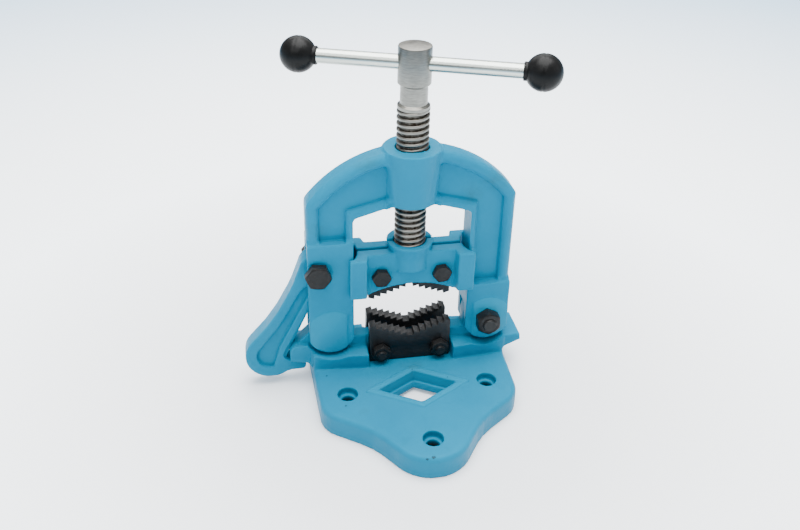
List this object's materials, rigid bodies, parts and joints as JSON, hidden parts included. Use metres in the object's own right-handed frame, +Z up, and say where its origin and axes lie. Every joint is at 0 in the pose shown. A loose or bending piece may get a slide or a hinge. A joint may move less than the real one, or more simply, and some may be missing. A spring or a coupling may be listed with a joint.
{
  "type": "pipe vise",
  "caption": "Bench pipe vise: hinged yoke with hooked latch, screw-driven toothed V jaw over fixed V jaws, tommy bar with ball ends.",
  "frame": {"origin": "on the base's underside, straight under the screw's axis", "axes": "+Z up along the screw, -Y towards the mounting holes, +X towards the yoke's hinge"},
  "size_m": [0.2416, 0.1774, 0.2966],
  "materials": {
    "casting_paint": "light blue enamel over an as-cast surface",
    "blackened_steel": "black oxide",
    "jaw_steel": "hardened, blackened",
    "turned_steel": "turned, bare",
    "zinc_bar": "bright zinc plating",
    "black_plastic": "satin moulded"
  },
  "bodies": {
    "base": {"base": "casting_paint", "lower_jaw_front": "jaw_steel", "lower_jaw_rear": "jaw_steel", "hinge_bolt": "blackened_steel", "hinge_nut": "blackened_steel", "lower_jaw_bolt_left": "blackened_steel", "lower_jaw_bolt_right": "blackened_steel", "lower_jaw_nut_left": "blackened_steel", "lower_jaw_nut_right": "blackened_steel"},
    "yoke": {"yoke": "casting_paint", "latch_bolt": "blackened_steel", "latch_nut": "blackened_steel"},
    "latch": {"latch": "casting_paint"},
    "carrier": {"carrier_front": "casting_paint", "carrier_rear": "casting_paint", "upper_jaw": "jaw_steel", "carrier_bolt_left": "blackened_steel", "carrier_bolt_right": "blackened_steel", "carrier_nut_left": "blackened_steel", "carrier_nut_right": "blackened_steel"},
    "screw": {"screw": "turned_steel"},
    "bar": {"tommy_bar": "zinc_bar", "knob_left": "black_plastic", "knob_right": "black_plastic"}
  },
  "joints": [
    {"name": "yoke_hinge", "type": "hinge", "parent": "base", "child": "yoke", "pos_m": [0.0665, 0, 0.055], "axis": [0, 1, 0], "range_deg": [0, 90]},
    {"name": "latch_hinge", "type": "hinge", "parent": "yoke", "child": "latch", "pos_m": [-0.0769, 0, 0.1131], "axis": [0, 1, 0], "range_deg": [0, 60]},
    {"name": "carrier_slide", "type": "slide", "parent": "yoke", "child": "carrier", "axis": [0, 0, 1], "range_m": [-0.027, 0.03]},
    {"name": "screw_turn", "type": "hinge", "parent": "carrier", "child": "screw", "pos_m": [0, 0, 0.1335], "axis": [0, 0, 1], "range_deg": [-1980, 2196]},
    {"name": "bar_slide", "type": "slide", "parent": "screw", "child": "bar", "axis": [0.9409, -0.3387, 0], "range_m": [-0.0635, 0.0577]}
  ],
  "couplings": [
    {"joint": "screw_turn", "follows": "carrier_slide", "rad_per_m": 1256.6}
  ]
}
